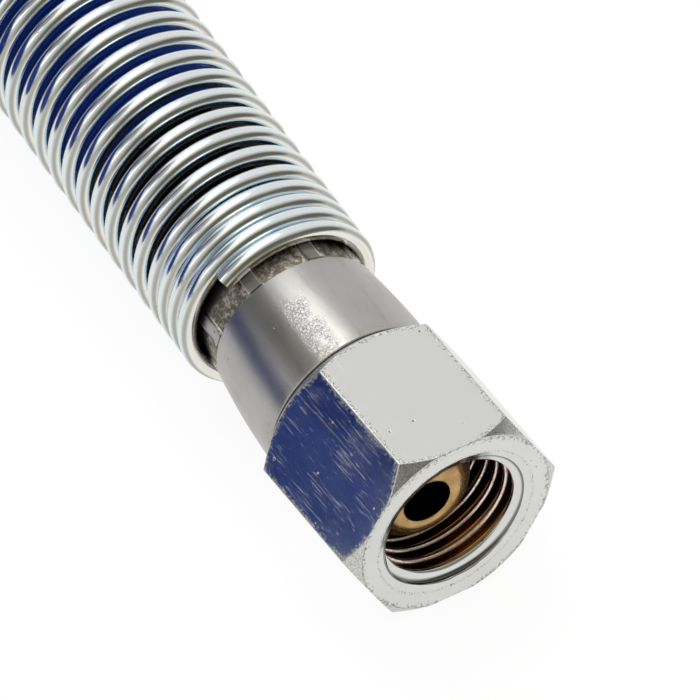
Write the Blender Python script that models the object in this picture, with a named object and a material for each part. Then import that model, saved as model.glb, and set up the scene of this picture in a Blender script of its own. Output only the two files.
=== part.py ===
"""Steam hose for an iron: a rubber hose with a crimped swivel fitting and a wire bend guard at each end.

Frame: metres, +Z up, the table is the plane Z = 0. The origin is the middle of the flat that the iron
end's union nut rests on. The iron end's hose axis runs along +X and leaves through the nut's mouth. The
spare length is wound into a round coil behind the iron end, and the boiler end leans on the coil.
"""

import bisect
import math

import bmesh
import bpy
from mathutils import Matrix, Vector

# Union nut, measured along its own axis from its rear face
NUT_ACROSS_FLATS = 0.017
NUT_LENGTH = 0.0142
NUT_FRONT_FACE_RADIUS = 0.0090
NUT_FRONT_CHAMFER = 0.0014
NUT_REAR_FACE_RADIUS = 0.0079
NUT_REAR_CHAMFER = 0.0017
NUT_MOUTH_RADIUS = 0.0074
NUT_COUNTERSINK = 0.0014
THREAD_MINOR_RADIUS = 0.0059
NUT_COLLAR_THICKNESS = 0.0043
NUT_COLLAR_RADIUS = 0.0046

# How far each nut's axis lies from its hose's axis, swung sideways about the middle of its rear face
IRON_NUT_SWING = math.radians(3.56)
BOILER_NUT_SWING = 0.0

# Tailpiece, measured along the hose axis from the nut's rear face, forward positive
BORE_RADIUS = 0.0020
NOSE_SETBACK = 0.0028
NOSE_LIP = 0.0005
NOSE_LENGTH = 0.0036
FLANGE_RADIUS = 0.0051
SWIVEL_SEAT_GAP = 0.00065
NECK_RADIUS = 0.0039
LOCK_FLANGE_THICKNESS = 0.0016
BARB_CREST_RADIUS = 0.0032
BARB_ROOT_RADIUS = 0.0028
BARB_COUNT = 6
BARB_RAMP_SHARE = 0.25

# Crimped ferrule, from its front face backward
FERRULE_FRONT_GAP = 0.0008
FERRULE_FRONT_ROUND = 0.0012
FERRULE_DOME_LENGTH = 0.00745
FERRULE_DOME_SWELL = 0.00072
FERRULE_DOME_FULLNESS = 1.8
FERRULE_FRONT_WALL = 0.0024
CRIMP_LENGTH = 0.01845
CRIMP_STEP_DEPTH = 0.0004
CRIMP_PANEL_DEPTH = 0.00035
CRIMP_WALL = 0.0009
CRIMP_STEP = 0.0004
CRIMP_JAWS = 8
CRIMP_FIRST_RIDGE_ANGLE = math.radians(29.0)
CRIMP_RIDGE_ANGLE = math.radians(6.0)
CRIMP_RIDGE_SIDE_ANGLE = math.radians(1.5)
FERRULE_LIP_LENGTH = 0.0020

# Bend guard, a right-handed spring of round wire
GUARD_WIRE_RADIUS = 0.000725
GUARD_TO_HOSE_GAP = 0.00055
GUARD_LENGTH = 0.05485
GUARD_CLOSE_PITCH = 0.00157
GUARD_OPEN_PITCH = 0.00226
GUARD_FRONT_CLOSE_TURNS = 4.2
GUARD_REAR_CLOSE_TURNS = 3.0
GUARD_END_ANGLE = math.radians(131.0)
GUARD_TO_DOME_GAP = 0.0015

# Hose and its coil
HOSE_RADIUS = 0.0065
COIL_TURN_RADIUS = 0.070
COIL_SIDE_ANGLE = math.atan2(1, 2)
BOILER_END_PITCH = math.radians(7.2)

# Running and fitting clearances
TOUCH_GAP = 0.0003
CUTTER_OVERRUN = 0.003

# Facets
TURNED_SEGMENTS = 24
NOSE_POINTS = 7
ROUNDING_POINTS = 4
DOME_STATIONS = 5
PANEL_POINTS = 4
HEX_BODY_SEGMENTS = 40
GUARD_SEGMENTS_PER_TURN = 12
GUARD_WIRE_SIDES = 5
COIL_SEGMENTS = 40
COIL_POINTS_PER_TURN = 4
HOSE_POINT_SPACING = 5 * HOSE_RADIUS
ROUTE_STEPS = 24
RIM_STEPS = 12

NICKEL = ("nickel_plate", (0.72, 0.72, 0.70), 0.22, 1.0)
CRIMPED_STEEL = ("satin_nickel", (0.50, 0.49, 0.47), 0.34, 1.0)
BRASS = ("brass", (0.78, 0.57, 0.27), 0.28, 1.0)
ZINC = ("zinc_wire", (0.70, 0.75, 0.78), 0.26, 1.0)
RUBBER = ("blue_rubber", (0.015, 0.045, 0.17), 0.55, 0.0)

# The guard is wound to fit the hose, and the ferrule is crimped until the guard slides over it
guard_inner = HOSE_RADIUS + GUARD_TO_HOSE_GAP
guard_outer = guard_inner + 2 * GUARD_WIRE_RADIUS
crimp_ridge = guard_inner - TOUCH_GAP
crimp_panel = crimp_ridge - CRIMP_PANEL_DEPTH
crimp_bore = crimp_panel - CRIMP_WALL
ferrule_waist = crimp_ridge + CRIMP_STEP_DEPTH
ferrule_shoulder = ferrule_waist + FERRULE_DOME_SWELL

# The iron end lies on its nut's flat, or on its guard where that is thicker
nut_half = NUT_ACROSS_FLATS / 2
axis_height = max(nut_half, guard_outer)
dome_end = -(FERRULE_FRONT_GAP + FERRULE_FRONT_ROUND + FERRULE_DOME_LENGTH)
crimp_end = dome_end - CRIMP_LENGTH
ferrule_end = crimp_end - FERRULE_LIP_LENGTH
guard_front = dome_end - GUARD_TO_DOME_GAP
guard_rear = guard_front - GUARD_LENGTH
hose_start = ferrule_end - TOUCH_GAP


def clear_scene():
    for item in list(bpy.data.objects):
        bpy.data.objects.remove(item, do_unlink=True)


def make_material(name, colour, roughness, metallic):
    """One Principled material for each finish, shared by the pieces that have it."""
    found = bpy.data.materials.get(name)
    if found:
        return found
    made = bpy.data.materials.new(name)
    made.use_nodes = True
    shader = made.node_tree.nodes["Principled BSDF"]
    shader.inputs["Base Color"].default_value = (*colour, 1.0)
    shader.inputs["Roughness"].default_value = roughness
    shader.inputs["Metallic"].default_value = metallic
    made.diffuse_color = (*colour, 1.0)
    return made


def add_object(name, data, finish, parent=None):
    data.materials.append(make_material(*finish))
    item = bpy.data.objects.new(name, data)
    bpy.context.scene.collection.objects.link(item)
    item.parent = parent
    return item


def add_empty(name, location, rotation=(0.0, 0.0, 0.0), parent=None):
    empty = bpy.data.objects.new(name, None)
    empty.empty_display_size = 0.01
    empty.location = location
    empty.rotation_euler = rotation
    empty.parent = parent
    bpy.context.scene.collection.objects.link(empty)
    return empty


def finish_mesh(bm, name, sharp_angle=math.radians(35)):
    """Turn a bmesh into a mesh with its faces out, smooth apart from its real edges."""
    bmesh.ops.recalc_face_normals(bm, faces=bm.faces)
    mesh = bpy.data.meshes.new(name)
    bm.to_mesh(mesh)
    bm.free()
    mesh.shade_smooth()
    mesh.set_sharp_from_angle(angle=sharp_angle)
    return mesh


def turned_mesh(name, profile, segments=TURNED_SEGMENTS):
    """Spin a closed outline of (along, radius) points about the X axis."""
    bm = bmesh.new()
    ring = [bm.verts.new((along, 0.0, radius)) for along, radius in profile]
    edges = [bm.edges.new((ring[i - 1], ring[i])) for i in range(len(ring))]
    bmesh.ops.spin(
        bm, geom=ring + edges, cent=(0, 0, 0), axis=(1, 0, 0),
        angle=math.tau, steps=segments, use_merge=True,
    )
    bmesh.ops.remove_doubles(bm, verts=bm.verts, dist=1e-7)
    return finish_mesh(bm, name)


def arc_points(centre, radii, start, end, count):
    """Points on an ellipse's arc in the (along, radius) plane, angles in degrees."""
    points = []
    for i in range(count):
        angle = math.radians(start + (end - start) * i / (count - 1))
        points.append((centre[0] + radii[0] * math.cos(angle), centre[1] + radii[1] * math.sin(angle)))
    return points


def nut_body_mesh():
    """The nut as a lathe leaves it: chamfered outside, countersunk, bored and with a collar behind."""
    corner = nut_half / math.cos(math.pi / 6)
    blank = corner + TOUCH_GAP
    front_slope = NUT_FRONT_CHAMFER / (corner - NUT_FRONT_FACE_RADIUS)
    rear_slope = NUT_REAR_CHAMFER / (corner - NUT_REAR_FACE_RADIUS)
    profile = [
        (NUT_LENGTH, NUT_MOUTH_RADIUS),
        (NUT_LENGTH, NUT_FRONT_FACE_RADIUS),
        (NUT_LENGTH - front_slope * (blank - NUT_FRONT_FACE_RADIUS), blank),
        (rear_slope * (blank - NUT_REAR_FACE_RADIUS), blank),
        (0.0, NUT_REAR_FACE_RADIUS),
        (0.0, NUT_COLLAR_RADIUS),
        (NUT_COLLAR_THICKNESS, NUT_COLLAR_RADIUS),
        (NUT_COLLAR_THICKNESS, THREAD_MINOR_RADIUS),
        (NUT_LENGTH - NUT_COUNTERSINK, THREAD_MINOR_RADIUS),
    ]
    return turned_mesh("nut_body", profile, HEX_BODY_SEGMENTS)


def hexagon_mesh():
    """A hexagonal bar, flats at top and bottom, longer than the nut at both ends."""
    bm = bmesh.new()
    corner = nut_half / math.cos(math.pi / 6)
    bmesh.ops.create_cone(
        bm, cap_ends=True, segments=6, radius1=corner, radius2=corner, depth=NUT_LENGTH + 2 * CUTTER_OVERRUN,
        matrix=Matrix.Translation((NUT_LENGTH / 2, 0, 0)) @ Matrix.Rotation(math.pi / 2, 4, "Y"),
    )
    flat_up = max(vertex.co.z for vertex in bm.verts)
    if flat_up > corner * math.cos(math.pi / 12):
        bmesh.ops.rotate(bm, verts=bm.verts, cent=(0, 0, 0), matrix=Matrix.Rotation(math.pi / 6, 3, "X"))
    return finish_mesh(bm, "hexagon_bar", math.radians(10))


def add_nut(prefix, parent, swing):
    """The swivel nut on an empty that stands on its joint's axis, cut to a hexagon."""
    axis = add_empty(prefix + "_nut_axis", (0, 0, 0), (0, 0, swing), parent)
    nut = add_object(prefix + "_union_nut", nut_body_mesh(), NICKEL, axis)
    bar = add_object(prefix + "_hexagon_bar", hexagon_mesh(), NICKEL, axis)
    bar.hide_render = True
    bar.display_type = "WIRE"
    cut = nut.modifiers.new("hexagon", "BOOLEAN")
    cut.operation = "INTERSECT"
    cut.solver = "EXACT"
    cut.object = bar
    return nut


def tailpiece_mesh():
    """Brass insert: rounded nose, seat flange, neck, lock flange and a barbed shank, bored through."""
    nose_tip = NUT_LENGTH - NOSE_SETBACK
    flange_front = nose_tip - NOSE_LENGTH
    flange_rear = NUT_COLLAR_THICKNESS + SWIVEL_SEAT_GAP
    wall_rear = -(FERRULE_FRONT_GAP + FERRULE_FRONT_WALL)
    lock_front = wall_rear - TOUCH_GAP
    lock_rear = lock_front - LOCK_FLANGE_THICKNESS
    lock_radius = crimp_bore - TOUCH_GAP
    lip_radius = BORE_RADIUS + NOSE_LIP
    profile = [(nose_tip, BORE_RADIUS)]
    nose_radii = (NOSE_LENGTH, FLANGE_RADIUS - lip_radius)
    profile += arc_points((flange_front, lip_radius), nose_radii, 0, 90, NOSE_POINTS)
    profile += [(flange_rear, FLANGE_RADIUS), (flange_rear, NECK_RADIUS)]
    profile += [(lock_front, NECK_RADIUS), (lock_front, lock_radius), (lock_rear, lock_radius)]
    barb = (lock_rear - ferrule_end) / BARB_COUNT
    for i in range(BARB_COUNT):
        front = lock_rear - barb * i
        profile += [(front, BARB_ROOT_RADIUS), (front - barb * BARB_RAMP_SHARE, BARB_CREST_RADIUS)]
    profile += [(ferrule_end, BARB_ROOT_RADIUS), (ferrule_end, BORE_RADIUS)]
    return turned_mesh("tailpiece", profile)


def ferrule_stations():
    """Stations of the ferrule's outside, front to back: (along, radius, radius at the ridges)."""
    front = -FERRULE_FRONT_GAP
    shoulder = front - FERRULE_FRONT_ROUND
    face_radius = ferrule_shoulder - FERRULE_FRONT_ROUND
    stations = []
    rounding = (FERRULE_FRONT_ROUND, FERRULE_FRONT_ROUND)
    for along, radius in arc_points((shoulder, face_radius), rounding, 0, 90, ROUNDING_POINTS):
        stations.append((along, radius, radius))
    for i in range(DOME_STATIONS):
        share = (i + 1) / DOME_STATIONS
        radius = ferrule_shoulder - FERRULE_DOME_SWELL * share ** FERRULE_DOME_FULLNESS
        stations.append((shoulder - FERRULE_DOME_LENGTH * share, radius, radius))
    stations += [
        (dome_end - CRIMP_STEP, crimp_panel, crimp_ridge),
        (crimp_end + CRIMP_STEP, crimp_panel, crimp_ridge),
        (crimp_end, crimp_ridge, crimp_ridge),
        (ferrule_end + CRIMP_STEP, crimp_ridge, crimp_ridge),
        (ferrule_end, crimp_panel, crimp_panel),
    ]
    return stations


def ferrule_mesh():
    """Loft the ferrule: a smooth dome in front, then panels pressed by the crimping jaws."""
    sector = math.tau / CRIMP_JAWS
    half_ridge = CRIMP_RIDGE_ANGLE / 2
    panel_start = half_ridge + CRIMP_RIDGE_SIDE_ANGLE
    panel_end = sector - panel_start
    spots = [(-half_ridge, True), (half_ridge, True)]
    panel_step = (panel_end - panel_start) / (PANEL_POINTS - 1)
    spots += [(panel_start + panel_step * i, False) for i in range(PANEL_POINTS)]
    around = []
    for jaw in range(CRIMP_JAWS):
        middle = CRIMP_FIRST_RIDGE_ANGLE + sector * jaw
        around += [(middle + angle, ridge) for angle, ridge in spots]
    wall_rear = -(FERRULE_FRONT_GAP + FERRULE_FRONT_WALL)
    inner = [(ferrule_end, crimp_bore), (wall_rear, crimp_bore)]
    inner += [(wall_rear, NECK_RADIUS + TOUCH_GAP), (-FERRULE_FRONT_GAP, NECK_RADIUS + TOUCH_GAP)]
    stations = ferrule_stations() + [(along, radius, radius) for along, radius in inner]
    bm = bmesh.new()
    rings = []
    for along, radius, ridge_radius in stations:
        ring = []
        for angle, ridge in around:
            reach = ridge_radius if ridge else radius
            ring.append(bm.verts.new((along, reach * math.cos(angle), reach * math.sin(angle))))
        rings.append(ring)
    for i, ring in enumerate(rings):
        behind = rings[i - 1]
        for j in range(len(ring)):
            bm.faces.new((behind[j - 1], behind[j], ring[j], ring[j - 1]))
    return finish_mesh(bm, "ferrule")


def grip_mesh():
    """The end of the hose, squeezed between the ferrule and the tailpiece's barbs."""
    front = -(FERRULE_FRONT_GAP + FERRULE_FRONT_WALL + LOCK_FLANGE_THICKNESS + 2 * TOUCH_GAP)
    outer = crimp_bore - TOUCH_GAP
    inner = BARB_CREST_RADIUS + TOUCH_GAP
    profile = [(front, inner), (front, outer), (ferrule_end, outer), (ferrule_end, inner)]
    return turned_mesh("hose_grip", profile)


def guard_turns():
    """Turns of the helix against its length along the axis: close at both ends, open between."""
    close_front = GUARD_FRONT_CLOSE_TURNS * GUARD_CLOSE_PITCH
    close_rear = GUARD_REAR_CLOSE_TURNS * GUARD_CLOSE_PITCH
    open_length = GUARD_LENGTH - 2 * GUARD_WIRE_RADIUS - close_front - close_rear
    open_turns = open_length / GUARD_OPEN_PITCH
    turns = [0.0, GUARD_FRONT_CLOSE_TURNS, GUARD_FRONT_CLOSE_TURNS + open_turns]
    turns.append(turns[-1] + GUARD_REAR_CLOSE_TURNS)
    lengths = [0.0, close_front, close_front + open_length, GUARD_LENGTH - 2 * GUARD_WIRE_RADIUS]
    return turns, lengths


def guard_mesh():
    """Sweep the guard's wire along its helix, front end first, and cap both cut ends."""
    turns, lengths = guard_turns()
    helix_radius = guard_outer - GUARD_WIRE_RADIUS
    steps = round(turns[-1] * GUARD_SEGMENTS_PER_TURN)
    bm = bmesh.new()
    rings = []
    for i in range(steps + 1):
        turn = turns[-1] * i / steps
        piece = min(bisect.bisect_right(turns, turn) - 1, len(turns) - 2)
        share = (turn - turns[piece]) / (turns[piece + 1] - turns[piece])
        along = lengths[piece] + (lengths[piece + 1] - lengths[piece]) * share
        angle = GUARD_END_ANGLE - math.tau * turn
        outward = Vector((0.0, math.cos(angle), math.sin(angle)))
        centre = helix_radius * outward
        centre.x = guard_front - GUARD_WIRE_RADIUS - along
        ring = []
        for side in range(GUARD_WIRE_SIDES):
            round_wire = math.tau * side / GUARD_WIRE_SIDES
            offset = math.cos(round_wire) * outward + math.sin(round_wire) * Vector((1, 0, 0))
            ring.append(bm.verts.new(centre + GUARD_WIRE_RADIUS * offset))
        rings.append(ring)
    for ring, after in zip(rings, rings[1:]):
        for side in range(GUARD_WIRE_SIDES):
            bm.faces.new((ring[side - 1], ring[side], after[side], after[side - 1]))
    bm.faces.new(rings[0])
    bm.faces.new(rings[-1])
    return finish_mesh(bm, "bend_guard", math.radians(80))


def add_end(prefix, location, rotation, nut_swing):
    """One end of the hose: all of its pieces on an empty at the middle of the nut's rear face."""
    end = add_empty(prefix, location, rotation)
    add_nut(prefix, end, nut_swing)
    add_object(prefix + "_tailpiece", tailpiece_mesh(), BRASS, end)
    add_object(prefix + "_ferrule", ferrule_mesh(), CRIMPED_STEEL, end)
    add_object(prefix + "_bend_guard", guard_mesh(), ZINC, end)
    add_object(prefix + "_hose_grip", grip_mesh(), RUBBER, end)
    return end


def coil_outline():
    """Outline of the wound bundle: three turns side by side on the table and a fourth lying on them."""
    lower = HOSE_RADIUS
    upper = 3 * HOSE_RADIUS
    side = math.degrees(COIL_SIDE_ANGLE)
    turns = [
        ((COIL_TURN_RADIUS + 2 * HOSE_RADIUS, lower), -90, side),
        ((COIL_TURN_RADIUS + HOSE_RADIUS, upper), side, 90),
        ((COIL_TURN_RADIUS - HOSE_RADIUS, upper), 90, 180 - side),
        ((COIL_TURN_RADIUS - 2 * HOSE_RADIUS, lower), 180 - side, 270),
    ]
    points = []
    for centre, start, end in turns:
        points += arc_points(centre, (HOSE_RADIUS, HOSE_RADIUS), start, end, COIL_POINTS_PER_TURN)
    return points


def add_coil(centre):
    """The wound length as one turned ring that stands on the table."""
    bm = bmesh.new()
    ring = [bm.verts.new((radius, 0.0, height)) for radius, height in coil_outline()]
    edges = [bm.edges.new((ring[i - 1], ring[i])) for i in range(len(ring))]
    bmesh.ops.spin(
        bm, geom=ring + edges, cent=(0, 0, 0), axis=(0, 0, 1),
        angle=math.tau, steps=COIL_SEGMENTS, use_merge=True,
    )
    bmesh.ops.remove_doubles(bm, verts=bm.verts, dist=1e-7)
    coil = add_object("hose_coil", finish_mesh(bm, "hose_coil"), RUBBER)
    coil.location = (centre.x, centre.y, 0.0)
    return coil


def coil_radius_at(height):
    """The coil's outer radius at a height: its bottom turn, its sloping side or its top turn."""
    lower = HOSE_RADIUS
    upper = 3 * HOSE_RADIUS
    rise = HOSE_RADIUS * math.sin(COIL_SIDE_ANGLE)
    if height < lower + rise:
        return COIL_TURN_RADIUS + 2 * HOSE_RADIUS + math.sqrt(HOSE_RADIUS ** 2 - (height - lower) ** 2)
    if height < upper + rise:
        across = HOSE_RADIUS - math.sin(COIL_SIDE_ANGLE) * (height - upper)
        return COIL_TURN_RADIUS + HOSE_RADIUS + across / math.cos(COIL_SIDE_ANGLE)
    above = min(HOSE_RADIUS, height - upper)
    return COIL_TURN_RADIUS + HOSE_RADIUS + math.sqrt(HOSE_RADIUS ** 2 - above ** 2)


def reach_past_coil(track, height, radius):
    """How far along the tangent to a turn a round piece must stand for its end face to clear the coil."""
    reach = 0.0
    for i in range(2 * RIM_STEPS + 1):
        angle = math.pi * (i / RIM_STEPS - 1) / 2
        side = track - radius * math.cos(angle)
        level = height + radius * math.sin(angle)
        coil = coil_radius_at(max(0.0, level))
        reach = max(reach, math.sqrt(max(0.0, coil ** 2 - side ** 2)))
    return reach + TOUCH_GAP


def smooth_path(route, spacing):
    """Points at an even spacing on a smooth curve through the route's own points."""
    ends = [2 * route[0] - route[1]] + route + [2 * route[-1] - route[-2]]
    fine = []
    for i in range(1, len(ends) - 2):
        before, start, stop, after = ends[i - 1:i + 3]
        for k in range(ROUTE_STEPS):
            t = k / ROUTE_STEPS
            fine.append(0.5 * (
                2 * start + (stop - before) * t
                + (2 * before - 5 * start + 4 * stop - after) * t * t
                + (3 * start - before - 3 * stop + after) * t ** 3
            ))
    fine.append(route[-1])
    run = [0.0]
    for start, stop in zip(fine, fine[1:]):
        run.append(run[-1] + (stop - start).length)
    count = max(2, round(run[-1] / spacing))
    points = []
    for i in range(count + 1):
        target = run[-1] * i / count
        k = min(bisect.bisect_right(run, target) - 1, len(fine) - 2)
        points.append(fine[k].lerp(fine[k + 1], (target - run[k]) / (run[k + 1] - run[k])))
    return points


def add_hose_tube(name, route):
    """A free stretch of the hose: a bevelled curve with filled ends."""
    points = smooth_path(route, HOSE_POINT_SPACING)
    curve = bpy.data.curves.new(name, "CURVE")
    curve.dimensions = "3D"
    spline = curve.splines.new("POLY")
    spline.points.add(len(points) - 1)
    for point, place in zip(spline.points, points):
        point.co = (*place, 1.0)
        point.radius = 1.0
    curve.bevel_depth = HOSE_RADIUS
    curve.bevel_resolution = 3
    curve.use_fill_caps = True
    return add_object(name, curve, RUBBER)


def main():
    clear_scene()

    swing = Matrix.Rotation(IRON_NUT_SWING, 3, "Z")
    iron_pivot = swing @ Vector((-NUT_LENGTH / 2, 0, 0)) + Vector((0, 0, axis_height))
    add_end("iron_end", iron_pivot, (0, 0, 0), IRON_NUT_SWING)

    # The coil stands clear of the guard, and the iron end's hose runs into its outer turn
    iron_turn = COIL_TURN_RADIUS + 2 * HOSE_RADIUS
    guard_reach = reach_past_coil(iron_turn, axis_height, guard_outer)
    hose_reach = reach_past_coil(iron_turn, axis_height, HOSE_RADIUS)
    coil_centre = Vector((iron_pivot.x + guard_rear - guard_reach, iron_pivot.y - iron_turn, 0))
    add_coil(coil_centre)
    add_hose_tube("hose_iron_run", [
        iron_pivot + Vector((hose_start, 0, 0)),
        iron_pivot + Vector((guard_rear, 0, 0)),
        Vector((coil_centre.x + hose_reach, iron_pivot.y, iron_pivot.z)),
    ])

    # The boiler end leaves the top turn and leans down until its nut touches the table
    boiler_turn = COIL_TURN_RADIUS + HOSE_RADIUS
    heading = Vector((math.cos(BOILER_END_PITCH), 0, -math.sin(BOILER_END_PITCH)))
    boiler_height = nut_half * heading.x - NUT_LENGTH * heading.z
    guard_height = boiler_height + guard_rear * heading.z
    guard_reach = reach_past_coil(boiler_turn, guard_height, guard_outer)
    hose_reach = reach_past_coil(boiler_turn, guard_height, HOSE_RADIUS)
    boiler_x = coil_centre.x + guard_reach - guard_rear * heading.x
    boiler_pivot = Vector((boiler_x, coil_centre.y - boiler_turn, boiler_height))
    add_end("boiler_end", boiler_pivot, (0, BOILER_END_PITCH, 0), BOILER_NUT_SWING)
    tube_end = guard_rear - (guard_reach - hose_reach) / heading.x
    add_hose_tube("hose_boiler_run", [
        boiler_pivot + heading * tube_end,
        boiler_pivot + heading * guard_rear,
        boiler_pivot + heading * hose_start,
    ])


main()
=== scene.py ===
# Steam iron hose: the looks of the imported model, seen from above its union nut.
# Every shape is worked out in millimetres about its own end's axis, +X towards the mouth, and then
# put in its place by fitPiece, which also keeps those millimetres as the attribute "place".

import math

import bmesh
import bpy
from mathutils import Matrix, Quaternion, Vector


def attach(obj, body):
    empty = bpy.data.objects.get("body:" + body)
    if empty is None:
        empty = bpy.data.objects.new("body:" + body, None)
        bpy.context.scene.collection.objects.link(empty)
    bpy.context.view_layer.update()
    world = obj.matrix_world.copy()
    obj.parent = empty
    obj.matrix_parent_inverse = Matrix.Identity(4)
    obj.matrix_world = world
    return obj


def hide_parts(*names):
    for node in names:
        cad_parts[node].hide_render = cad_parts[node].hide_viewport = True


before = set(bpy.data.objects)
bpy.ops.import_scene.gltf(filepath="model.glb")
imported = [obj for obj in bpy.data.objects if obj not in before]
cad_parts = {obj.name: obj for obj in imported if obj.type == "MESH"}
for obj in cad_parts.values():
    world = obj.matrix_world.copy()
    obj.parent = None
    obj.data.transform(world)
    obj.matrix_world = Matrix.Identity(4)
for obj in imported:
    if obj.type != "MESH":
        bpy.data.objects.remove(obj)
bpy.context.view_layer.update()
print("frame loaded:", len(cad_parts), "nodes")

mm = 0.001

# The two ends: the middle of the nut's rear face, and in degrees how far the end leans down
# and how far its nut is swung aside
ends = {
    "iron_end": {"pivot": (-7.0863, -0.4409, 8.5), "lean": 0.0, "nutSwing": 3.56, "nutBody": "iron_nut"},
    "boiler_end": {
        "pivot": (-5.1476, -159.9409, 10.2127), "lean": 7.2, "nutSwing": 0.0, "nutBody": "boiler_nut",
    },
}


def addObject(name, data):
    item = bpy.data.objects.new(name, data)
    bpy.context.scene.collection.objects.link(item)
    return item


def endMatrix(end, swing=0.0):
    turn = Matrix.Rotation(math.radians(end["lean"]), 4, "Y") @ Matrix.Rotation(math.radians(swing), 4, "Z")
    return Matrix.Translation(Vector(end["pivot"]) * mm) @ turn @ Matrix.Scale(mm, 4)


# Camera
view = {
    "azimuth": 59.074, "elevation": 47.03, "roll": 2.507, "aim": (-10.228, 0.601, 11.509),
    "distance": 1600.0, "pixelsPerMillimetre": 12.851, "pixels": 700, "sensor": 36.0, "clip": (0.05, 100),
}


def addCamera():
    a, e = math.radians(view["azimuth"]), math.radians(view["elevation"])
    back = Vector((math.sin(a) * math.cos(e), -math.cos(a) * math.cos(e), math.sin(e)))
    data = bpy.data.cameras.new("camera")
    data.sensor_width = view["sensor"]
    data.lens = view["sensor"] * view["distance"] * view["pixelsPerMillimetre"] / view["pixels"]
    data.clip_start, data.clip_end = view["clip"]
    camera = addObject("camera", data)
    camera.location = (Vector(view["aim"]) + back * view["distance"]) * mm
    camera.rotation_mode = "QUATERNION"
    roll = Quaternion((0, 0, 1), math.radians(view["roll"]))
    camera.rotation_quaternion = (-back).to_track_quat("-Z", "Y") @ roll
    bpy.context.scene.camera = camera


addCamera()


# Node helpers. A socket knows the node tree that it stands in, so most of them need only sockets.
def wire(socket, value):
    if isinstance(value, bpy.types.NodeSocket):
        socket.id_data.links.new(value, socket)
    else:
        socket.default_value = value


def treeOf(values):
    return next(value.id_data for value in values if isinstance(value, bpy.types.NodeSocket))


def addNode(tree, kind, sockets=None, **settings):
    node = tree.nodes.new(kind)
    for name, value in settings.items():
        setattr(node, name, value)
    for name, value in (sockets or {}).items():
        wire(node.inputs[name], value)
    return node


def calc(operation, *values):
    node = addNode(treeOf(values), "ShaderNodeMath", operation=operation)
    for socket, value in zip(node.inputs, values):
        wire(socket, value)
    return node.outputs[0]


def plus(first, second):
    return calc("ADD", first, second)


def minus(first, second):
    return calc("SUBTRACT", first, second)


def over(first, second):
    return calc("DIVIDE", first, second)


def times(product, *factors):
    for factor in factors:
        product = calc("MULTIPLY", product, factor)
    return product


def lesser(first, second):
    return calc("MINIMUM", first, second)


def greater(first, second):
    return calc("MAXIMUM", first, second)


def distance(first, second):
    return calc("ABSOLUTE", minus(first, second))


def fade(value, low, high, toLow=0.0, toHigh=1.0, kind="SMOOTHSTEP"):
    return addNode(value.id_data, "ShaderNodeMapRange", {
        "Value": value, "From Min": low, "From Max": high, "To Min": toLow, "To Max": toHigh,
    }, interpolation_type=kind).outputs["Result"]


def joinXyz(x, y, z):
    return addNode(x.id_data, "ShaderNodeCombineXYZ", {"X": x, "Y": y, "Z": z}).outputs[0]


def parts(vector):
    return addNode(vector.id_data, "ShaderNodeSeparateXYZ", {0: vector}).outputs


def onVectors(operation, first, second, output="Vector"):
    node = addNode(first.id_data, "ShaderNodeVectorMath", {0: first, 1: second}, operation=operation)
    return node.outputs[output]


def fromAxis(y, z):
    return calc("SQRT", plus(times(y, y), times(z, z)))


def mixColour(factor, first, second):
    node = addNode(factor.id_data, "ShaderNodeMix", data_type="RGBA")
    for index, value in ((0, factor), (6, first), (7, second)):
        plain = isinstance(value, tuple) and len(value) == 3
        wire(node.inputs[index], (*value, 1.0) if plain else value)
    return node.outputs[2]


def noiseAt(vector, scale, detail=2.0, roughness=0.5):
    sockets = {"Vector": vector, "Scale": scale, "Detail": detail, "Roughness": roughness}
    return addNode(vector.id_data, "ShaderNodeTexNoise", sockets).outputs[0]


def newGroup(kind, name, inputs, outputs):
    tree = bpy.data.node_groups.new(name, kind)
    for label, socketType, value in inputs:
        socket = tree.interface.new_socket(label, in_out="INPUT", socket_type=socketType)
        if value is not None:
            socket.default_value = value
    for label, socketType in outputs:
        tree.interface.new_socket(label, in_out="OUTPUT", socket_type=socketType)
    return tree, tree.nodes.new("NodeGroupInput").outputs, tree.nodes.new("NodeGroupOutput").inputs


def useGroup(group, place, output, **sockets):
    node = addNode(place.id_data, "ShaderNodeGroup", node_tree=group)
    for name, value in {"Vector": place, **sockets}.items():
        wire(node.inputs[name], value)
    return node.outputs[output]


# Shared surface effects
def streakGroup():
    # Long thin scratches that run one way, in patches
    tree, given, out = newGroup("ShaderNodeTree", "handlingStreaks", [
        ("Vector", "NodeSocketVector", None), ("Angle", "NodeSocketFloat", 0.0),
        ("Length", "NodeSocketFloat", 3.0), ("Width", "NodeSocketFloat", 0.08),
        ("Amount", "NodeSocketFloat", 0.4), ("Patch", "NodeSocketFloat", 4.0),
    ], [("Mask", "NodeSocketFloat")])
    turned = addNode(tree, "ShaderNodeVectorRotate", {"Vector": given["Vector"], "Angle": given["Angle"]},
                     rotation_type="Z_AXIS").outputs[0]
    x, y, z = parts(turned)
    stretched = joinXyz(over(x, given["Length"]), over(y, given["Width"]), over(z, given["Width"]))
    lines = noiseAt(stretched, 1.0, 2.0, 0.6)
    patches = noiseAt(given["Vector"], over(1.0, given["Patch"]), 2.0, 0.6)
    height = minus(0.86, times(given["Amount"], patches))
    wire(out["Mask"], fade(lines, height, plus(height, 0.10)))
    return tree


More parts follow.
